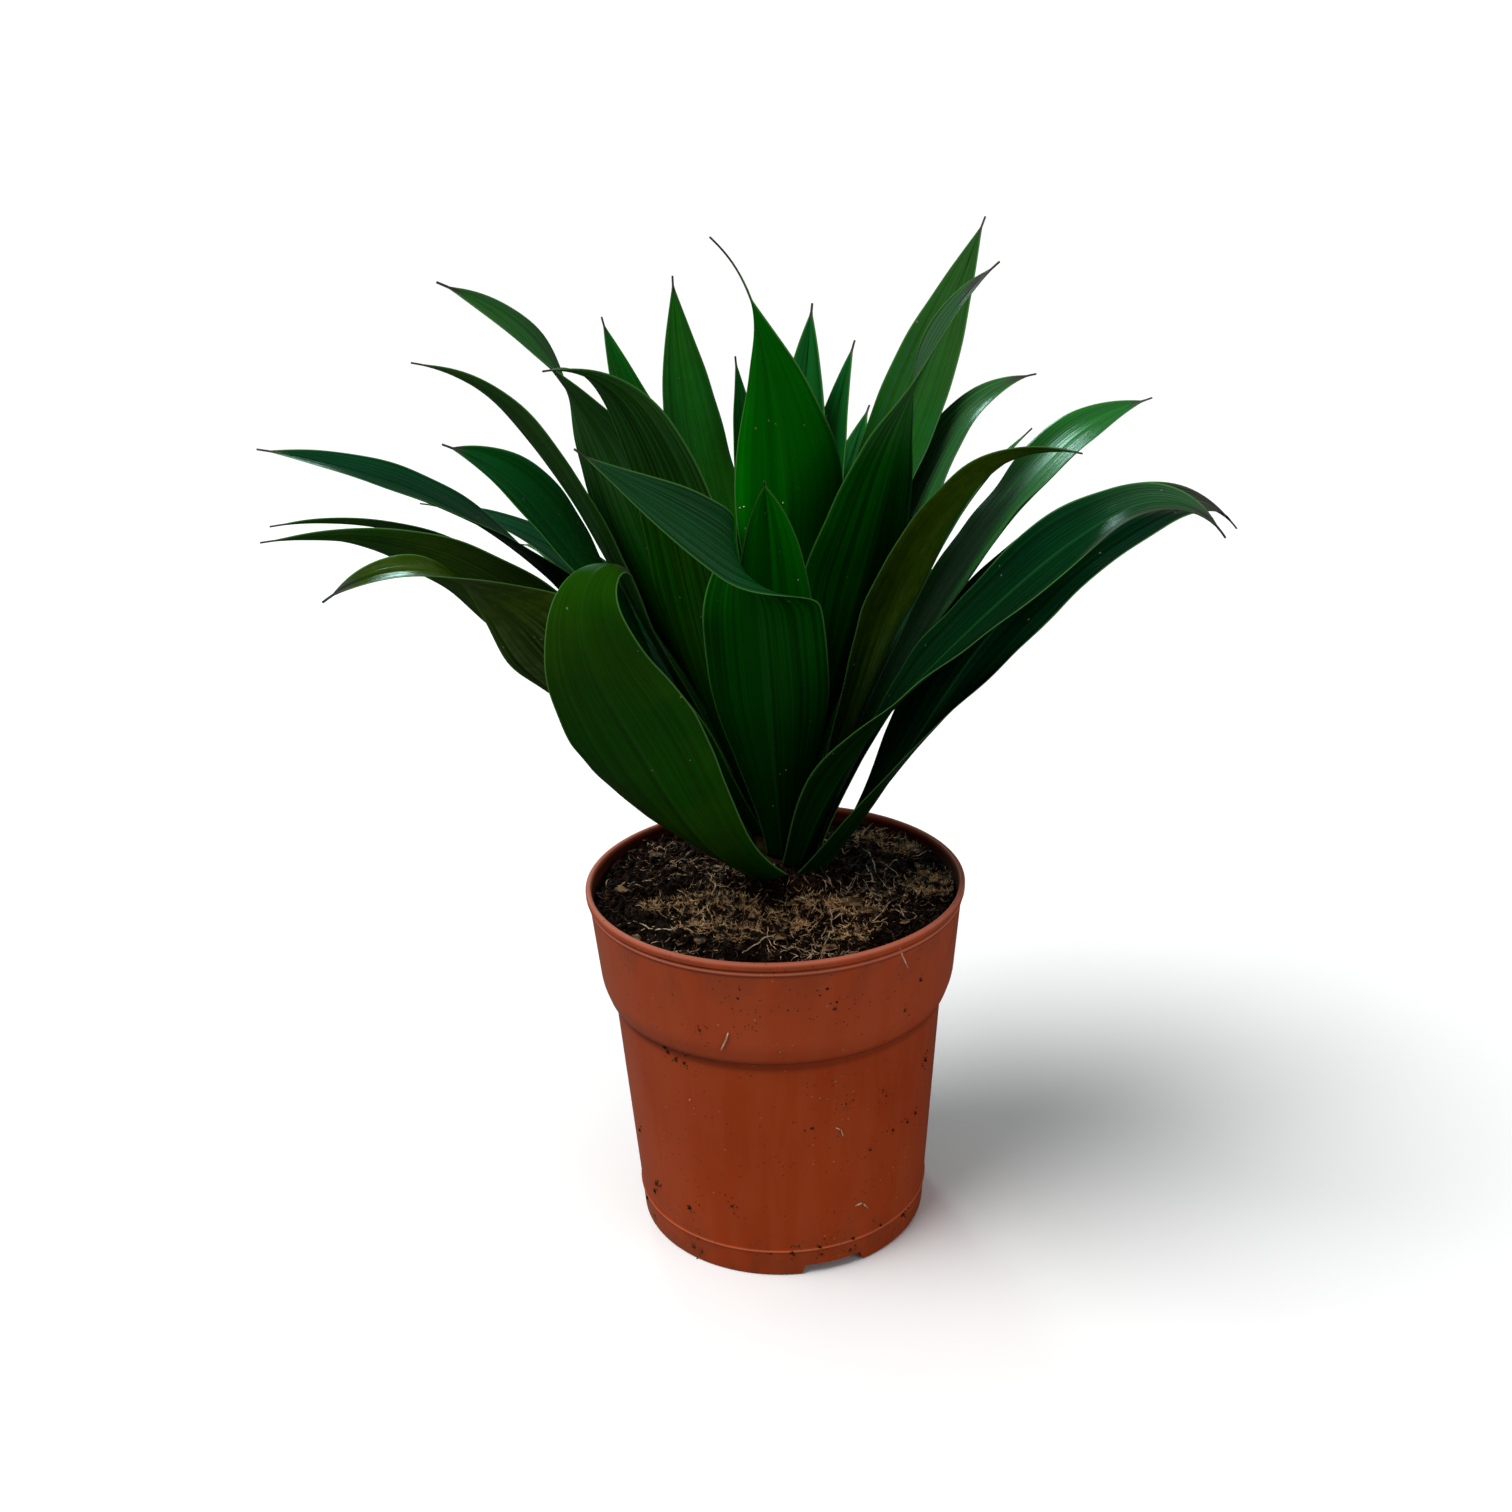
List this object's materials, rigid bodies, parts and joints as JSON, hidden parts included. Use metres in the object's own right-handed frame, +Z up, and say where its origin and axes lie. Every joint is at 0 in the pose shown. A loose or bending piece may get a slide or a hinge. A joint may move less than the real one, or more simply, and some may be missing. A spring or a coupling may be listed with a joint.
{
  "type": "potted dracaena",
  "caption": "Young dracaena with broad, arching, striped leaves on a short cane, rooted in peat in a plain terracotta-coloured plastic nursery pot.",
  "frame": {"origin": "centre of the pot's foot, on the surface it stands on", "axes": "+Z up along the pot's axis; -Y towards a viewer in front; +X to that viewer's right"},
  "size_m": [0.2883, 0.1728, 0.3159],
  "materials": {
    "pot_plastic": "satin moulded terracotta-coloured plastic",
    "peat": "rough dark fibrous peat",
    "cane_bark": "dry papery leaf sheaths",
    "leaf_green": "waxy, with fine lengthwise stripes"
  },
  "bodies": {
    "root": {"cane": "cane_bark", "leaf_01": "leaf_green", "leaf_02": "leaf_green", "leaf_03": "leaf_green", "leaf_04": "leaf_green", "leaf_05": "leaf_green", "leaf_06": "leaf_green", "leaf_07": "leaf_green", "leaf_08": "leaf_green", "leaf_09": "leaf_green", "leaf_10": "leaf_green", "leaf_11": "leaf_green", "leaf_12": "leaf_green", "leaf_13": "leaf_green", "leaf_14": "leaf_green", "leaf_15": "leaf_green", "leaf_16": "leaf_green", "leaf_17": "leaf_green", "leaf_18": "leaf_green", "leaf_19": "leaf_green", "leaf_20": "leaf_green", "leaf_21": "leaf_green", "leaf_22": "leaf_green", "leaf_23": "leaf_green", "leaf_24": "leaf_green", "leaf_25": "leaf_green", "leaf_26": "leaf_green", "leaf_27": "leaf_green", "leaf_28": "leaf_green", "leaf_29": "leaf_green", "leaf_30": "leaf_green", "leaf_31": "leaf_green", "leaf_32": "leaf_green", "leaf_33": "leaf_green", "leaf_34": "leaf_green", "leaf_35": "leaf_green", "leaf_36": "leaf_green", "leaf_37": "leaf_green", "pot": "pot_plastic", "soil": "peat"}
  },
  "joints": []
}
